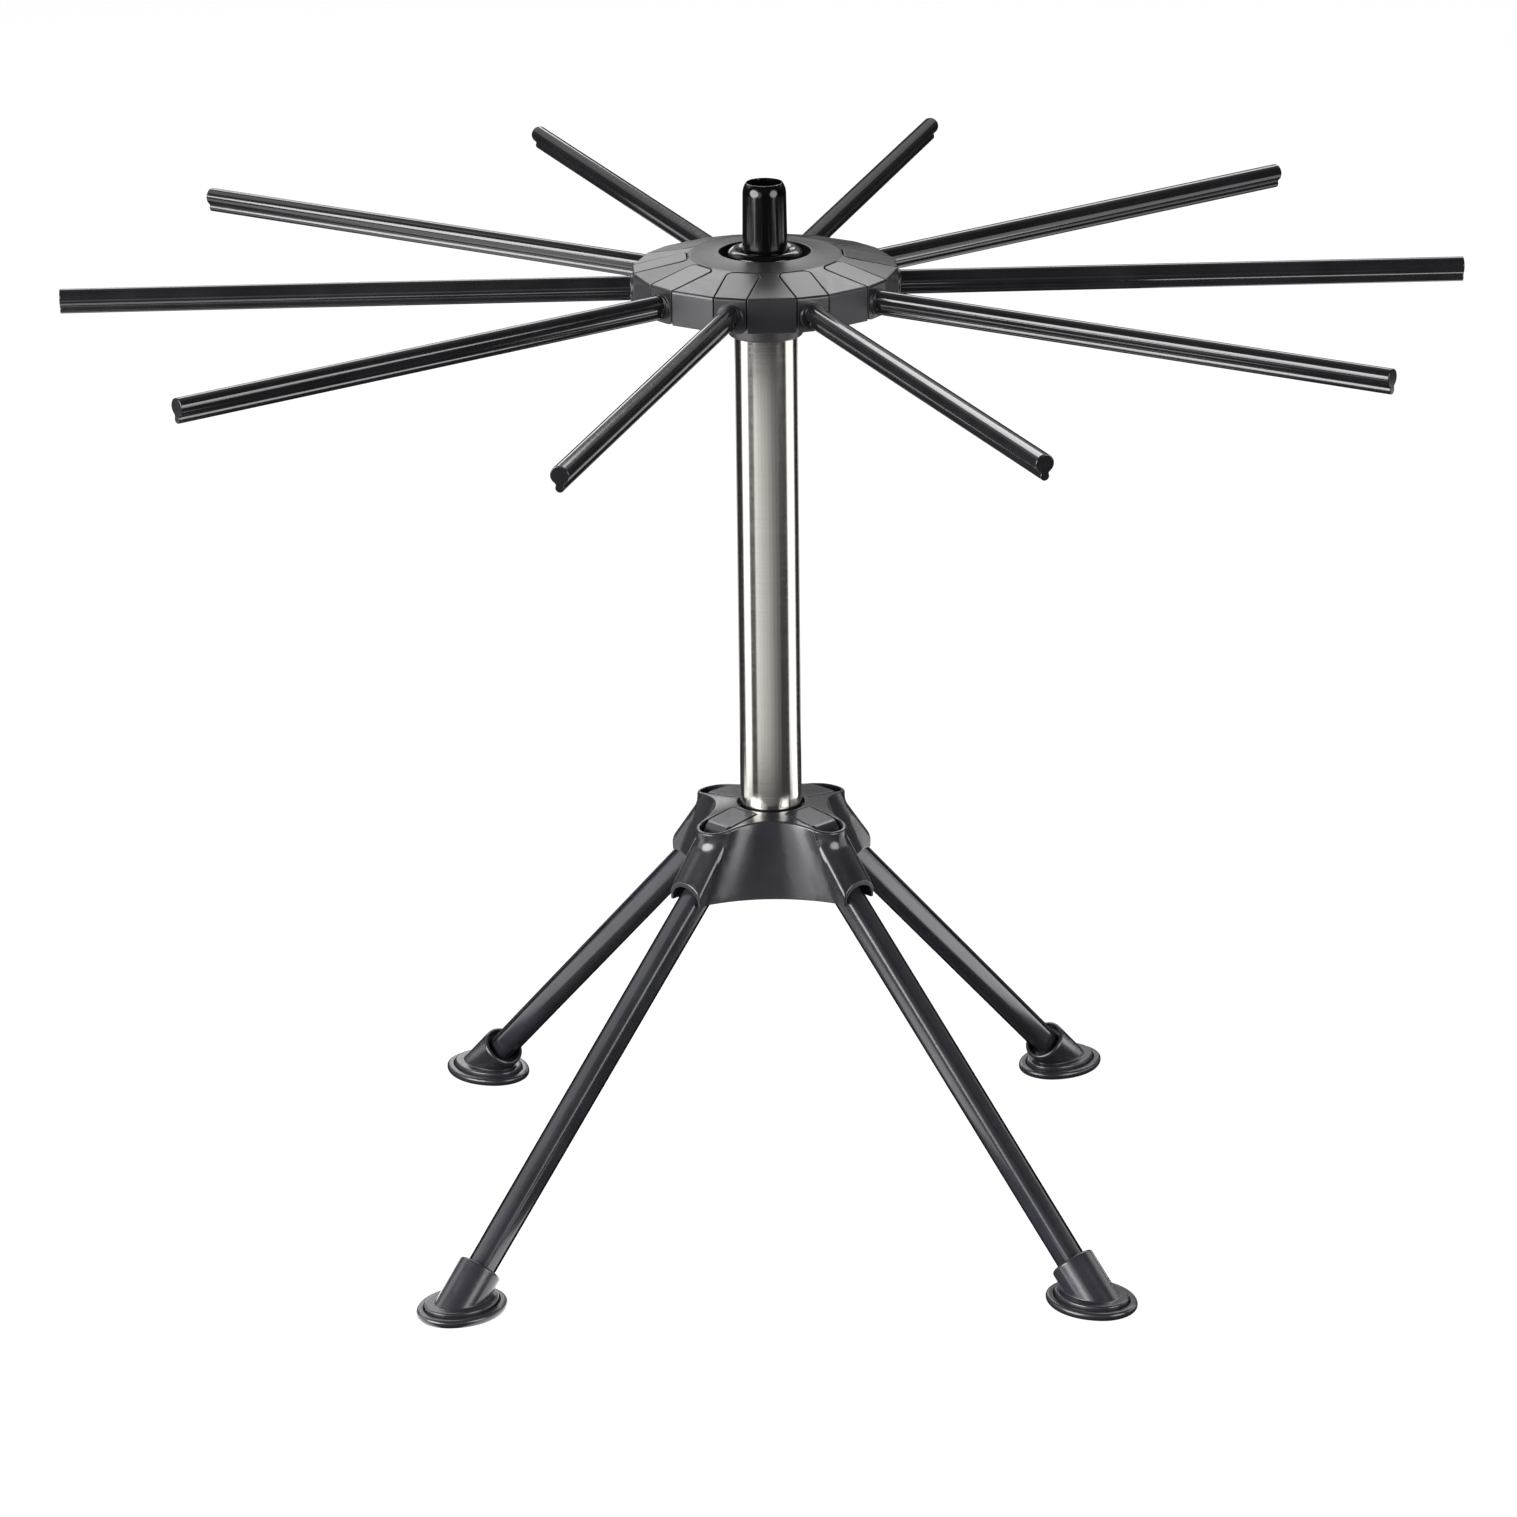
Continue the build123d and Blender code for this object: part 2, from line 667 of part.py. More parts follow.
with BuildPart() as anchor_screw:
    with BuildSketch(Plane.XY.offset(skirt_z - washer_thickness)):
        Circle(anchor_head_radius)
    extrude(amount=-anchor_head)
    fillet(anchor_screw.edges().sort_by(Axis.Z)[0], radius=anchor_head / 2)
    with BuildSketch(Plane.XY.offset(skirt_z - washer_thickness)):
        Circle(anchor_radius)
    extrude(amount=anchor_length)
    with BuildSketch(Plane.XY.offset(skirt_z - washer_thickness - anchor_head)):
        RegularPolygon(anchor_head_radius * drive_share, 6)
    extrude(amount=anchor_head * drive_depth_share, mode=Mode.SUBTRACT)
anchor_screw.part.label = "anchor_screw"
export_step(anchor_screw.part, "parts/anchor_screw.step")

# Leg pins
with BuildPart() as leg_pins:
    for azimuth in leg_azimuths:
        with BuildSketch(radial(azimuth)):
            with Locations((leg_pin_reach, leg_pin_z)):
                Circle(leg_pin_radius)
        extrude(amount=leg_pin_half, both=True)
leg_pins.part.label = "leg_pins"
export_step(leg_pins.part, "parts/leg_pins.step")

# Along a leg, measured in its own radial plane: the head fills the slot in the base's top, and its
# inner face rests against the flat of the column's socket when the leg is spread
floor_run = leg_pin_z / cos(radians(leg_spread))
head_inner = flat_reach + move_gap
head_back = leg_pin_reach - head_inner
head_top_in = (head_inner, dome_height(head_inner))
head_top_out = (head_inner + head_length, dome_height(head_inner + head_length))
head_turn = hypot(head_top_out[0] - leg_pin_reach, head_top_out[1] - leg_pin_z)


def about_pin(radius, angle):
    """Point at this radius and angle about a leg's pin, in the leg's radial plane."""
    return (leg_pin_reach + radius * cos(radians(angle)), leg_pin_z + radius * sin(radians(angle)))


def leg_plane(azimuth, run):
    """Plane square to a leg, this far down it from the pin: x runs sideways, and y to its upper face."""
    a = radians(azimuth)
    s = radians(leg_spread)
    reach = leg_pin_reach + run * sin(s)
    origin = (reach * cos(a), reach * sin(a), leg_pin_z - run * cos(s))
    return Plane(origin=origin, x_dir=(-sin(a), cos(a), 0), z_dir=down_along(azimuth, leg_spread))


leg_names = ("back_right", "back_left", "front_left", "front_right")
for leg_name, azimuth in zip(leg_names, leg_azimuths):
    with BuildPart() as leg:
        with BuildSketch(radial(azimuth)):
            with BuildLine():
                Line(head_top_in, head_top_out)
                ThreePointArc(head_top_out, about_pin(head_turn, 0), about_pin(head_turn, -leg_spread))
                Line(about_pin(head_turn, -leg_spread), about_pin(head_back, -90))
                ThreePointArc(about_pin(head_back, -90), about_pin(head_back, -135), about_pin(head_back, 180))
                Line(about_pin(head_back, 180), head_top_in)
            make_face()
        extrude(amount=head_half, both=True)
        turned_face = leg.faces().filter_by(GeomType.CYLINDER).sort_by(reach_of)[-1]
        chamfer(turned_face.edges().filter_by(GeomType.CIRCLE), length=head_edge)
        with BuildSketch(leg_plane(azimuth, 0)):
            blank = Rectangle(leg_side, leg_side)
            chamfer(blank.vertices(), length=leg_chamfer)
        extrude(amount=floor_run - leg_end, taper=leg_draft)
        with BuildSketch(radial(azimuth)):
            with Locations((leg_pin_reach, leg_pin_z)):
                Circle(leg_pin_radius + fit_gap)
        extrude(amount=head_half, both=True, mode=Mode.SUBTRACT)
    leg.part.label = f"leg_{leg_name}"
    export_step(leg.part, f"parts/leg_{leg_name}.step")

# Feet: an oval sole with a rounded rim, and a slanting round socket for the leg
foot_end = foot_wide * foot_end_share
foot_flank = (foot_long**2 - 2 * foot_long * foot_end + foot_wide**2) / (2 * (foot_wide - foot_end))


def foot_outline(inset=0.0):
    """Oval of four arcs that run into each other, this far inside the foot's edge, into a sketch."""
    along = foot_long - foot_end + (foot_end - inset) * (foot_long - foot_end) / (foot_flank - foot_end)
    aside = (foot_end - inset) * (foot_flank - foot_wide) / (foot_flank - foot_end)
    inner, outer = foot_reach - along, foot_reach + along
    with BuildLine() as outline:
        ThreePointArc((outer, -aside), (foot_reach + foot_long - inset, 0), (outer, aside))
        ThreePointArc((outer, aside), (foot_reach, foot_wide - inset), (inner, aside))
        ThreePointArc((inner, aside), (foot_reach - foot_long + inset, 0), (inner, -aside))
        ThreePointArc((inner, -aside), (foot_reach, inset - foot_wide), (outer, -aside))
    make_face(outline.edges())


for leg_name, azimuth in zip(leg_names, leg_azimuths):
    with BuildPart() as foot:
        with BuildSketch(level(azimuth, 0)):
            foot_outline()
        extrude(amount=foot_rim)
        fillet(foot.faces().filter_by(Axis.Z).edges(), radius=foot_rim_round)
        with BuildSketch(level(azimuth, foot_rim - foot_groove)):
            foot_outline(foot_rim_width)
        extrude(amount=foot_groove, mode=Mode.SUBTRACT)
        with BuildSketch(level(azimuth, 0)):
            foot_outline(foot_step_inset)
        extrude(amount=foot_step)
        fillet(foot.faces().sort_by(Axis.Z)[-1].edges(), radius=foot_step_round)
        with BuildSketch(leg_plane(azimuth, floor_run - socket_reach)):
            Circle(socket_radius)
        extrude(amount=socket_reach + socket_radius)
        fillet(foot.edges().sort_by(Axis.Z)[-1], radius=socket_round)
        with BuildSketch(level(azimuth, 0)):
            with Locations((foot_reach, 0)):
                Circle(2 * foot_long)
        extrude(amount=-socket_reach - socket_radius, mode=Mode.SUBTRACT)
        with BuildSketch(leg_plane(azimuth, floor_run - socket_reach)):
            Circle(socket_mouth_radius)
        extrude(amount=socket_mouth_depth, mode=Mode.SUBTRACT)
        with BuildSketch(leg_plane(azimuth, 0)):
            blank = Rectangle(leg_side, leg_side)
            chamfer(blank.vertices(), length=leg_chamfer)
        extrude(amount=floor_run - leg_end, taper=leg_draft, mode=Mode.SUBTRACT)
    foot.part.label = f"foot_{leg_name}"
    export_step(foot.part, f"parts/foot_{leg_name}.step")
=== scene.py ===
# %% [markdown]
# # Looks of a pasta drying rack
# The rack's solids come from its CAD model, which is already packed. This lesson dresses them: it gives
# every plastic and steel surface a procedural finish, rounds the edges that the solids leave crisp, and sets
# up a small studio with a camera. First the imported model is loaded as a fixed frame. Its pieces are never
# moved, so everything that is added later sits where the CAD says.

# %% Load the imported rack
import bmesh
import bpy
import json
from math import cos, pi, radians, sin
from mathutils import Matrix, Vector

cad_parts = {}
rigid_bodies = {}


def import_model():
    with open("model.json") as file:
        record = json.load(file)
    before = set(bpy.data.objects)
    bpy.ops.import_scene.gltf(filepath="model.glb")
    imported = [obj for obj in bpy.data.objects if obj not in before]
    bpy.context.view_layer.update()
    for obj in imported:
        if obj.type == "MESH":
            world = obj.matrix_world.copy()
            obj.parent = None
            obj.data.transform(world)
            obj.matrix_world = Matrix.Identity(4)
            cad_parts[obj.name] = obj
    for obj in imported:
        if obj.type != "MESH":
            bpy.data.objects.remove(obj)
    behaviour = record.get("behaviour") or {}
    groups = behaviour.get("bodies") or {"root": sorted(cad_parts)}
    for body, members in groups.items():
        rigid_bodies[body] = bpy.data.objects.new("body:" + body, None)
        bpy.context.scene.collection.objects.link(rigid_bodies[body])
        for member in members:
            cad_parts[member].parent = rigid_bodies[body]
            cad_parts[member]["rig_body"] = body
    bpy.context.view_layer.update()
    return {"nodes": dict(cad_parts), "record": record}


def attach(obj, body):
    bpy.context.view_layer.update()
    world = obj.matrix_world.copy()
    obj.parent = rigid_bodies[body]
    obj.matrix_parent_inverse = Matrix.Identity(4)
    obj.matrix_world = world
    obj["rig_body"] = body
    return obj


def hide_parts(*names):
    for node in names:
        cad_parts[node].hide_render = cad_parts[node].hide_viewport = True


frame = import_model()
nodes = frame["nodes"]

# %% [markdown]
# A material is a small tree of nodes. A few short helpers keep the lesson readable: one adds a node and sets
# its plain values, one joins sockets, and the others make a sum, a shader group and stretched coordinates.
# Input names are written with underscores instead of spaces. All lengths are in metres.


# %% Helpers for node trees
def put(tree, kind, group=None, **values):
    """Adds a node to a tree, or one that runs a shader group, and sets its inputs by name."""
    made = tree.nodes.new(kind)
    if group:
        made.node_tree = group
    for title, value in values.items():
        made.inputs[title.replace("_", " ")].default_value = value
    return made


def join(tree, source, target):
    """Joins an output socket to an input socket."""
    tree.links.new(source, target)


def work_out(tree, operation, first, second, clamp=False):
    """Sum, product or the like of two output sockets, as an output socket."""
    made = tree.nodes.new("ShaderNodeMath")
    made.operation = operation
    made.use_clamp = clamp
    join(tree, first, made.inputs[0])
    join(tree, second, made.inputs[1])
    return made.outputs["Value"]


def new_group(title, inputs, outputs):
    """Starts a shader group with named sockets, and returns it with its two end nodes."""
    group = bpy.data.node_groups.new(title, "ShaderNodeTree")
    for name, value in inputs.items():
        socket = group.interface.new_socket(name, in_out="INPUT", socket_type="NodeSocketFloat")
        socket.default_value = value
    for name in outputs:
        group.interface.new_socket(name, in_out="OUTPUT", socket_type="NodeSocketFloat")
    return group, group.nodes.new("NodeGroupInput"), group.nodes.new("NodeGroupOutput")


def stretched(tree, scale=(1, 1, 1)):
    """Object coordinates, stretched by three factors, as an output socket."""
    place = put(tree, "ShaderNodeTexCoord")
    mapping = put(tree, "ShaderNodeMapping", Scale=scale)
    join(tree, place.outputs["Object"], mapping.inputs["Vector"])
    return mapping.outputs["Vector"]


# %% [markdown]
# Moulded plastic is never quite even. The mould's own surface leaves a very fine grain, and the melt leaves
# slow, wide changes of tone and gloss. Both effects are wanted in several finishes, so each is a node group
# that is built once. A group gives out only numbers, and each material decides what they do.

# %% Group: the fine grain of a mould
mould_grain, entry, leave = new_group("mould_grain", {"Fineness": 1800.0}, ["Height"])
fine = put(mould_grain, "ShaderNodeTexNoise", Detail=3.0, Roughness=0.65)
join(mould_grain, stretched(mould_grain), fine.inputs["Vector"])
join(mould_grain, entry.outputs["Fineness"], fine.inputs["Scale"])
join(mould_grain, fine.outputs["Fac"], leave.inputs["Height"])
print("group", mould_grain.name)

# %% Group: slow changes of tone and gloss
melt_flow, entry, leave = new_group("melt_flow", {"Size": 60.0, "Contrast": 0.5}, ["Tone", "Gloss"])
wide = put(melt_flow, "ShaderNodeTexNoise", Detail=2.0, Roughness=0.5)
join(melt_flow, stretched(melt_flow), wide.inputs["Vector"])
join(melt_flow, entry.outputs["Size"], wide.inputs["Scale"])
small = put(melt_flow, "ShaderNodeTexNoise", Scale=420.0, Detail=4.0, Roughness=0.6)
join(melt_flow, stretched(melt_flow), small.inputs["Vector"])
for source, exit_name in ((wide, "Tone"), (small, "Gloss")):
    spread = put(melt_flow, "ShaderNodeMapRange", From_Min=0.3, From_Max=0.7)
    join(melt_flow, source.outputs["Fac"], spread.inputs["Value"])
    scaled = work_out(melt_flow, "MULTIPLY", spread.outputs["Result"], entry.outputs["Contrast"])
    join(melt_flow, scaled, leave.inputs[exit_name])
print("group", melt_flow.name)

# %% [markdown]
# A kitchen tool is wiped and handled, which leaves hair-fine rub marks. They show only as a change of gloss.
# Noise that is squeezed hard in one direction makes streaks, and a narrow band of its values keeps just a few
# thin lines. Two sets cross each other.

# %% Group: rub marks
rub_marks, entry, leave = new_group("rub_marks", {"Amount": 0.5}, ["Mask"])
streak_scales = ((60, 90, 1500), (1400, 70, 110))
sets = []
for scale in streak_scales:
    streak = put(rub_marks, "ShaderNodeTexNoise", Scale=1.0, Detail=2.0)
    join(rub_marks, stretched(rub_marks, scale), streak.inputs["Vector"])
    band = put(rub_marks, "ShaderNodeMapRange", From_Min=0.62, From_Max=0.7)
    join(rub_marks, streak.outputs["Fac"], band.inputs["Value"])
    sets.append(band.outputs["Result"])
both = work_out(rub_marks, "MAXIMUM", *sets)
amount = work_out(rub_marks, "MULTIPLY", both, entry.outputs["Amount"])
join(rub_marks, amount, leave.inputs["Mask"])
print("group", rub_marks.name)

# %% [markdown]
# The six black plastics differ only in tone, gloss and grain, so one recipe makes them all. Flow decides the
# tone between two near blacks, flow and rub marks together decide the roughness, and the grain makes the bump.

# %% Recipe for a moulded plastic
plastic_ior = 1.5
full_contrast = 1.0


def plastic(title, dark, light, gloss, dull, fineness, depth, marks):
    """Moulded plastic: two tones, the roughness at its glossiest and dullest, its grain and its rub marks."""
    material = bpy.data.materials.new(title)
    material.use_nodes = True
    tree = material.node_tree
    shader = tree.nodes["Principled BSDF"]
    flow = put(tree, "ShaderNodeGroup", melt_flow, Contrast=full_contrast)
    tone = tree.nodes.new("ShaderNodeMix")
    tone.data_type = "RGBA"
    tone.inputs["A"].default_value = (*dark, 1)
    tone.inputs["B"].default_value = (*light, 1)
    join(tree, flow.outputs["Tone"], tone.inputs["Factor"])
    join(tree, tone.outputs["Result"], shader.inputs["Base Color"])
    rubbed = put(tree, "ShaderNodeGroup", rub_marks, Amount=marks)
    total = work_out(tree, "ADD", flow.outputs["Gloss"], rubbed.outputs["Mask"])
    rough = put(tree, "ShaderNodeMapRange", To_Min=gloss, To_Max=dull)
    join(tree, total, rough.inputs["Value"])
    join(tree, rough.outputs["Result"], shader.inputs["Roughness"])
    grain = put(tree, "ShaderNodeGroup", mould_grain, Fineness=fineness)
    bump = put(tree, "ShaderNodeBump", Strength=1.0, Distance=depth)
    join(tree, grain.outputs["Height"], bump.inputs["Height"])
    join(tree, bump.outputs["Normal"], shader.inputs["Normal"])
    shader.inputs["IOR"].default_value = plastic_ior
    print("material", title, "roughness", gloss, "to", dull)
    return material


# %% [markdown]
# The hub is satin with a fine grain, the base, the legs and the feet are half glossy, and the arms and the
# wand's handle shine. The handle and the ring round it are the deepest black of all, so their shader also
# reflects a little less than the others.

# %% The plastics of the rack
hub_plastic = plastic("hub_plastic", dark=(0.018, 0.018, 0.02), light=(0.024, 0.024, 0.027),
                      gloss=0.3, dull=0.37, fineness=2200, depth=0.00001, marks=0.08)
arm_plastic = plastic("arm_plastic", dark=(0.008, 0.008, 0.009), light=(0.013, 0.013, 0.015),
                      gloss=0.08, dull=0.13, fineness=900, depth=0.0000006, marks=0.4)
knob_plastic = plastic("knob_plastic", dark=(0.0015, 0.0015, 0.0015), light=(0.0025, 0.0025, 0.0025),
                       gloss=0.11, dull=0.15, fineness=700, depth=0.000001, marks=0.2)
base_plastic = plastic("base_plastic", dark=(0.014, 0.014, 0.017), light=(0.02, 0.02, 0.024),
                       gloss=0.17, dull=0.23, fineness=1200, depth=0.000001, marks=0.2)
leg_plastic = plastic("leg_plastic", dark=(0.014, 0.014, 0.018), light=(0.02, 0.02, 0.026),
                      gloss=0.18, dull=0.24, fineness=1500, depth=0.0000015, marks=0.1)
foot_plastic = plastic("foot_plastic", dark=(0.014, 0.014, 0.018), light=(0.02, 0.02, 0.026),
                       gloss=0.2, dull=0.26, fineness=1500, depth=0.0000015, marks=0.1)
knob_sheen = 0.35
knob_plastic.node_tree.nodes["Principled BSDF"].inputs["Specular IOR Level"].default_value = knob_sheen

# %% [markdown]
# An arm's root is moulded with the same fine satin as the hub round it, and only its rod is polished. A mask
# tells the two apart by their distance from the rack's axis, and it swaps the rod's roughness for a duller one.

# %% Satin roots for the arms
root_roughness = 0.31
root_mask, entry, leave = new_group("root_mask", {"Reach": 0.0478, "Blend": 0.0008}, ["Mask"])
level_place = root_mask.nodes.new("ShaderNodeVectorMath")
level_place.operation = "LENGTH"
join(root_mask, stretched(root_mask, (1, 1, 0)), level_place.inputs[0])
inside = work_out(root_mask, "SUBTRACT", entry.outputs["Reach"], level_place.outputs["Value"])
share = work_out(root_mask, "DIVIDE", inside, entry.outputs["Blend"], clamp=True)
join(root_mask, share, leave.inputs["Mask"])

tree = arm_plastic.node_tree
rod_roughness = tree.nodes["Principled BSDF"].inputs["Roughness"]
root = put(tree, "ShaderNodeGroup", root_mask)
swap = put(tree, "ShaderNodeMix", B=root_roughness)
join(tree, root.outputs["Mask"], swap.inputs["Factor"])
join(tree, rod_roughness.links[0].from_socket, swap.inputs["A"])
join(tree, swap.outputs["Result"], rod_roughness)
print("group", root_mask.name)

# %% [markdown]
# The column is thin steel tube, ground and brushed. Brushing leaves fine lines round the tube. Noise that is
# squeezed only along the column's height gives rings that are too fine to count, and they change the tone,
# the roughness and the bump. The hidden pins and screws are of plainer steel from the same recipe.

# %% Recipe for ground steel
lines_around = 40
groove_tone = 0.9
line_low, line_high = 0.35, 0.65


def steel(title, colour, gloss, dull, rings, depth):
    """Ground steel: its colour, its roughness at its brightest and dullest, and its lines."""
    material = bpy.data.materials.new(title)
    material.use_nodes = True
    tree = material.node_tree
    shader = tree.nodes["Principled BSDF"]
    shader.inputs["Metallic"].default_value = 1.0
    lines = put(tree, "ShaderNodeTexNoise", Scale=1.0, Detail=3.0, Roughness=0.6)
    join(tree, stretched(tree, (lines_around, lines_around, rings)), lines.inputs["Vector"])
    shade = tree.nodes.new("ShaderNodeValToRGB")
    groove, ridge = shade.color_ramp.elements
    groove.color = (*[groove_tone * part for part in colour], 1)
    ridge.color = (*colour, 1)
    groove.position, ridge.position = line_low, line_high
    join(tree, lines.outputs["Fac"], shade.inputs["Fac"])
    join(tree, shade.outputs["Color"], shader.inputs["Base Color"])
    rough = put(tree, "ShaderNodeMapRange", From_Min=line_low, From_Max=line_high, To_Min=gloss, To_Max=dull)
    join(tree, lines.outputs["Fac"], rough.inputs["Value"])
    join(tree, rough.outputs["Result"], shader.inputs["Roughness"])
    bump = put(tree, "ShaderNodeBump", Strength=1.0, Distance=depth)
    join(tree, lines.outputs["Fac"], bump.inputs["Height"])
    join(tree, bump.outputs["Normal"], shader.inputs["Normal"])
    print("material", title)
    return material


# %% The steels of the rack
line_depth = 0.000002
column_steel = steel("column_steel", (0.63, 0.6, 0.56), gloss=0.11, dull=0.18, rings=6000, depth=line_depth)
pin_steel = steel("pin_steel", (0.6, 0.6, 0.6), gloss=0.2, dull=0.3, rings=3000, depth=line_depth)
plated_steel = steel("plated_steel", (0.66, 0.66, 0.64), gloss=0.14, dull=0.2, rings=1500, depth=line_depth)

# %% [markdown]
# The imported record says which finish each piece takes. The dictionary below turns the record's names into the
# materials that were just made, and every piece gets its own.

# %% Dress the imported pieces
finishes = {
    "hub_plastic": hub_plastic,
    "arm_plastic": arm_plastic,
    "knob_plastic": knob_plastic,
    "base_plastic": base_plastic,
    "leg_plastic": leg_plastic,
    "foot_plastic": foot_plastic,
    "column_steel": column_steel,
    "pin_steel": pin_steel,
    "fastener_steel": plated_steel,
}
slot_of = {row["node"]: row["material_slot"] for row in frame["record"]["subparts"]}
for title, piece in nodes.items():
    for holder in piece.material_slots:
        holder.material = finishes[slot_of[title]]
print("dressed", len(nodes), "pieces")

# %% [markdown]
# Moulded edges are never quite sharp: each has a small radius that catches the light. The CAD solids keep
# theirs crisp, so soft copies stand in for the pieces whose edges are seen. A copy's loose triangles are
# merged, flat neighbours are joined into one face, and a Bevel modifier rounds every edge that turns by more
# than a set angle. The long edges of a leg's square bar are rounded much more than those of its head, so every
# edge carries a weight that says how much of the width it takes. Normals weighted by area keep flat faces flat.

# %% Soft edges
weld_gap = 0.000002
flat_turn = 0.5
long_edge = 0.06
area_weight = 50


def soften(title, radius, turn, long_radius=None):
    """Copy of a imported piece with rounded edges, which moves with the same body and hides the original."""
    source = nodes[title]
    shape = bmesh.new()
    shape.from_mesh(source.data)
    bmesh.ops.remove_doubles(shape, verts=shape.verts, dist=weld_gap)
    bmesh.ops.dissolve_limit(shape, angle_limit=radians(flat_turn), verts=shape.verts, edges=shape.edges)
    for face in shape.faces:
        face.smooth = True
    share = shape.edges.layers.float.new("bevel_weight_edge")
    for edge in shape.edges:
        if edge.is_manifold and edge.calc_face_angle() > radians(turn):
            is_widest = not long_radius or edge.calc_length() > long_edge
            edge[share] = 1.0 if is_widest else radius / long_radius
    mesh = bpy.data.meshes.new(title + "_soft")
    shape.to_mesh(mesh)
    shape.free()
    mesh.materials.clear()
    mesh.materials.append(finishes[slot_of[title]])
    piece = bpy.data.objects.new(title + "_soft", mesh)
    bpy.context.scene.collection.objects.link(piece)
    rounding = piece.modifiers.new("soft_edges", "BEVEL")
    rounding.width = long_radius or radius
    rounding.segments = 3 if long_radius else 2
    rounding.limit_method = "WEIGHT"
    rounding.use_clamp_overlap = False
    evening = piece.modifiers.new("flat_faces", "WEIGHTED_NORMAL")
    evening.mode = "FACE_AREA"
    evening.weight = area_weight
    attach(piece, source["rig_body"])
    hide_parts(title)
    return piece


# %% [markdown]
# Each row below gives the start of a name, with the radius of the edges, the least turn in degrees that counts
# as an edge, and for the legs the larger radius of the bar. The pins share two of these starts and stay crisp.

# %% Soften the pieces that are seen
roundings = {
    "hub_cap": (0.0004, 14),
    "hub_base": (0.0003, 30),
    "base_shell": (0.0003, 35),
    "arm_": (0.0003, 35),
    "leg_": (0.0004, 35, 0.0018),
    "wand_handle": (0.0004, 35),
    "foot_": (0.0004, 35),
}
stay_crisp = ("arm_pins", "leg_pins")
for start, radii in roundings.items():
    for title in nodes:
        if title.startswith(start) and title not in stay_crisp:
            piece = soften(title, *radii)
            print(piece.name, len(piece.data.polygons), "faces before rounding")

# %% [markdown]
# The rack stands on a white floor. Only the camera sees it white. In the rack's own reflections it is dark,
# because a white floor would turn black plastic and steel to an even grey.

# %% Floor
floor_size = 8
camera_tone, camera_glow = 0.12, 0.95
room_tone = 0.03
bpy.ops.mesh.primitive_plane_add(size=floor_size)
floor = bpy.context.object
floor.name = "floor"
floor_paint = bpy.data.materials.new("floor_paint")
floor_paint.use_nodes = True
tree = floor_paint.node_tree
tree.nodes.remove(tree.nodes["Principled BSDF"])
seen = put(tree, "ShaderNodeLightPath")
pale = put(tree, "ShaderNodeBsdfDiffuse", Color=(camera_tone, camera_tone, camera_tone, 1))
deep = put(tree, "ShaderNodeBsdfDiffuse", Color=(room_tone, room_tone, room_tone, 1))
glow = put(tree, "ShaderNodeEmission", Color=(1, 1, 1, 1), Strength=camera_glow)
bright = put(tree, "ShaderNodeAddShader")
join(tree, pale.outputs["BSDF"], bright.inputs[0])
join(tree, glow.outputs["Emission"], bright.inputs[1])
choice = put(tree, "ShaderNodeMixShader")
join(tree, seen.outputs["Is Camera Ray"], choice.inputs["Fac"])
join(tree, deep.outputs["BSDF"], choice.inputs[1])
join(tree, bright.outputs["Shader"], choice.inputs[2])
join(tree, choice.outputs["Shader"], tree.nodes["Material Output"].inputs["Surface"])
floor.data.materials.append(floor_paint)
print("floor", floor_size, "m wide")

# %% [markdown]
# The world is white to the camera. In reflections it is bright only behind the rack and above a low horizon,
# because flat black tops show what is behind them. The horizon draws the crisp line along the top of each arm
# that points away. Everywhere else it is dim, so that the lamps alone draw the bands on the upright sides.

# %% World
world = bpy.data.worlds.new("studio")
bpy.context.scene.world = world
world.use_nodes = True
tree = world.node_tree
tree.nodes.clear()
ray = put(tree, "ShaderNodeLightPath")
way = put(tree, "ShaderNodeTexCoord")
split = put(tree, "ShaderNodeSeparateXYZ")
join(tree, way.outputs["Generated"], split.inputs["Vector"])
depth_share = put(tree, "ShaderNodeMapRange", From_Min=0.1, From_Max=0.55, To_Min=0.05, To_Max=0.45)
join(tree, split.outputs["Y"], depth_share.inputs["Value"])
height_share = put(tree, "ShaderNodeMapRange", From_Min=0.17, From_Max=0.25, To_Min=0.1, To_Max=1.0)
join(tree, split.outputs["Z"], height_share.inputs["Value"])
level = work_out(tree, "MULTIPLY", depth_share.outputs["Result"], height_share.outputs["Result"])
room = put(tree, "ShaderNodeBackground", Color=(1, 1, 1, 1))
join(tree, level, room.inputs["Strength"])
white = put(tree, "ShaderNodeBackground", Color=(1, 1, 1, 1), Strength=1.0)
choice = put(tree, "ShaderNodeMixShader")
join(tree, ray.outputs["Is Camera Ray"], choice.inputs["Fac"])
join(tree, room.outputs["Background"], choice.inputs[1])
join(tree, white.outputs["Background"], choice.inputs[2])
last = put(tree, "ShaderNodeOutputWorld")
join(tree, choice.outputs["Shader"], last.inputs["Surface"])
print("world", world.name)

# %% [markdown]
# Soft boxes do the rest, and each has one job. A low strip on each side draws the bright lines near the
# column's edges. A row of small boxes in front fades from left to right and gives the column its slow change
# of tone. Two round keys in front draw the bands on the base's hollow sides and the spots on its lobes, and a
# fill widens one of them. Boxes behind draw the sheen on the hub and the lines on the arms.


# %% Soft boxes
def area_lamp(title, shape, width, tall, glow):
    """Flat lamp of this shape and brightness, which lights the rack but isn't seen by the camera."""
    data = bpy.data.lights.new(title, "AREA")
    data.shape = shape
    data.size, data.size_y, data.energy = width, tall, glow * pi * width * tall
    lamp = bpy.data.objects.new(title, data)
    bpy.context.scene.collection.objects.link(lamp)
    lamp.visible_camera = False
    return lamp


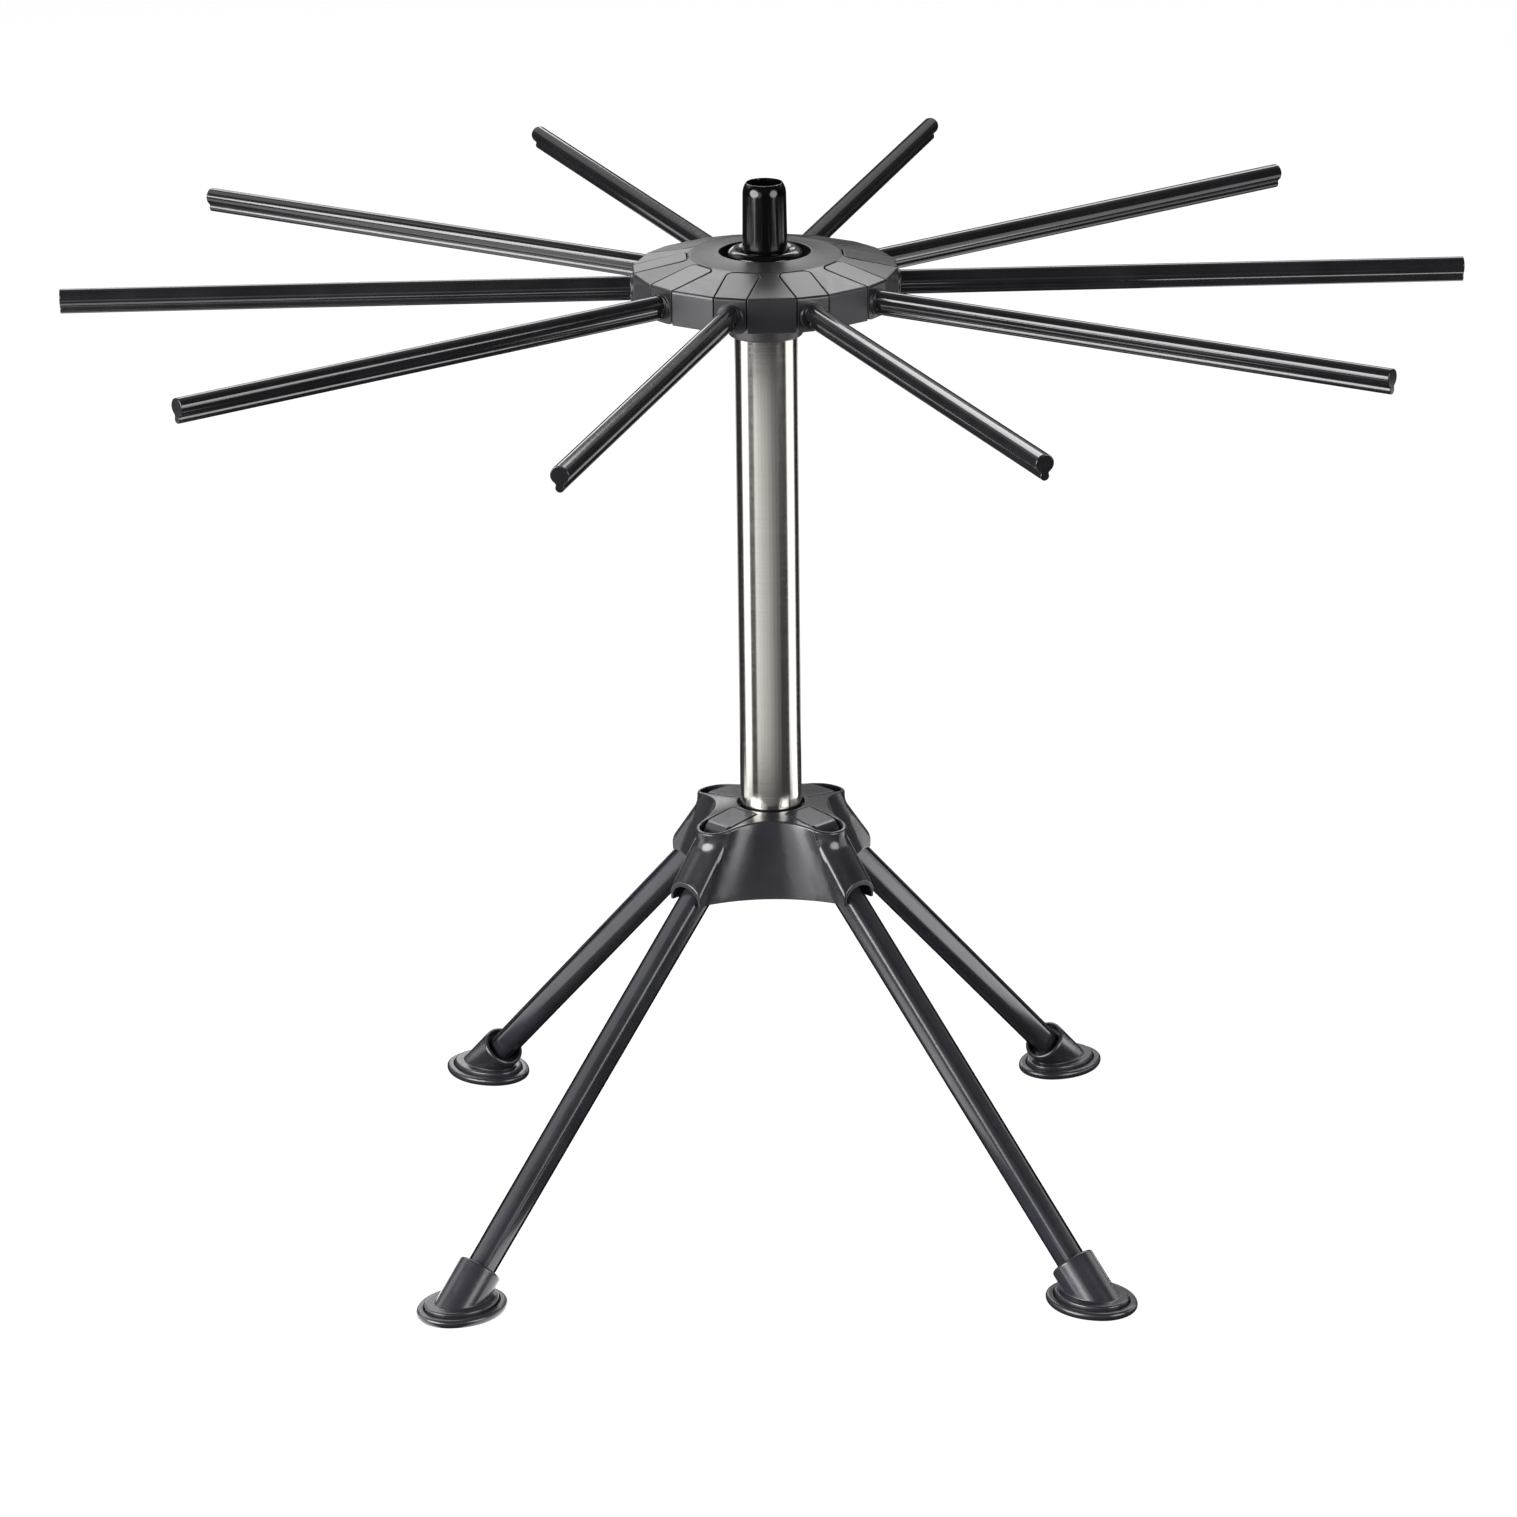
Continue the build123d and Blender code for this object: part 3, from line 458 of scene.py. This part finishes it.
def soft_box(title, turn, reach, height, width, tall, glow, aim, shape="RECTANGLE"):
    """Lamp that faces a height on the rack's axis: its turn is counted in degrees to the viewer's right."""
    lamp = area_lamp(title, shape, width, tall, glow)
    lamp.location = (sin(radians(turn)) * reach, -cos(radians(turn)) * reach, height)
    lamp.rotation_euler = (Vector((0, 0, aim)) - lamp.location).to_track_quat("-Z", "Y").to_euler()


soft_box("left_strip", turn=-88, reach=0.44, height=0.13, width=0.25, tall=0.26, glow=2.0, aim=0.13)
soft_box("right_strip", turn=96, reach=0.44, height=0.13, width=0.32, tall=0.26, glow=1.8, aim=0.13)
front_steps = {-43: 1.0, -30: 0.85, -17: 0.72, -4: 0.62, 9: 0.45, 22: 0.27, 35: 0.14}
for turn, glow in front_steps.items():
    soft_box(f"front_step_{turn}", turn, reach=0.44, height=0.1, width=0.1, tall=0.18, glow=glow, aim=0.1)
soft_box("back_low", turn=180, reach=0.44, height=0.1, width=0.5, tall=0.18, glow=0.6, aim=0.1)
soft_box("left_key", turn=-57, reach=1.1, height=0.48, width=1.0, tall=0.72, glow=11.5, aim=0.2,
         shape="ELLIPSE")
soft_box("left_fill", turn=-28, reach=1.1, height=0.45, width=0.5, tall=0.6, glow=1.5, aim=0.2,
         shape="ELLIPSE")
soft_box("right_key", turn=50, reach=1.1, height=0.48, width=0.8, tall=0.72, glow=6.0, aim=0.2,
         shape="ELLIPSE")
soft_box("left_high", turn=-109, reach=1.0, height=1.0, width=0.6, tall=0.6, glow=1.3, aim=0.1)
soft_box("back_top", turn=180, reach=1.5, height=1.4, width=2.6, tall=0.5, glow=5.0, aim=0.3)
soft_box("back_left", turn=-163, reach=1.5, height=0.62, width=0.7, tall=0.22, glow=3.0, aim=0.3)

# %% [markdown]
# The upright sides of the legs reflect the floor beside them, which is dark. Flat lamps that lie on the floor
# and shine up brighten just the patches that these sides show. The camera doesn't see them.

# %% Cards on the floor
card_lift = 0.0005


def floor_card(title, left, right, front, back, glow):
    """Lamp that lies on the floor between these edges and shines up."""
    lamp = area_lamp(title, "RECTANGLE", right - left, back - front, glow)
    lamp.location = ((left + right) / 2, (front + back) / 2, card_lift)
    lamp.rotation_euler = (pi, 0, 0)


floor_card("right_card", left=0.17, right=0.42, front=0.0, back=0.2, glow=4.0)
floor_card("left_card", left=-0.42, right=-0.17, front=0.0, back=0.2, glow=2.0)
floor_card("front_card", left=-0.28, right=-0.04, front=-0.125, back=-0.03, glow=3.0)
floor_card("foot_card", left=0.01, right=0.1, front=-0.18, back=-0.125, glow=4.0)

# %% [markdown]
# The camera stands about two metres in front and looks down by almost nineteen degrees. Its lens is long, so
# the far arms look nearly as large as the near ones. A small roll and shift bring the picture into line.

# %% Camera
look_down = radians(18.822)
roll = radians(-0.645)
distance = 2.0895
aim_height = 0.18
camera_data = bpy.data.cameras.new("camera")
camera_data.lens = 139.0
camera_data.sensor_width = 36.0
camera_data.shift_x = -0.0077
camera_data.shift_y = -0.0273
camera = bpy.data.objects.new("camera", camera_data)
bpy.context.scene.collection.objects.link(camera)
stand = Vector((0, -cos(look_down) * distance, sin(look_down) * distance + aim_height))
facing = Matrix.Rotation(pi / 2 - look_down, 4, "X") @ Matrix.Rotation(roll, 4, "Z")
camera.matrix_world = Matrix.Translation(stand) @ facing
bpy.context.scene.camera = camera
bpy.context.scene.view_settings.view_transform = "Standard"
print("camera at", [round(part, 3) for part in stand])
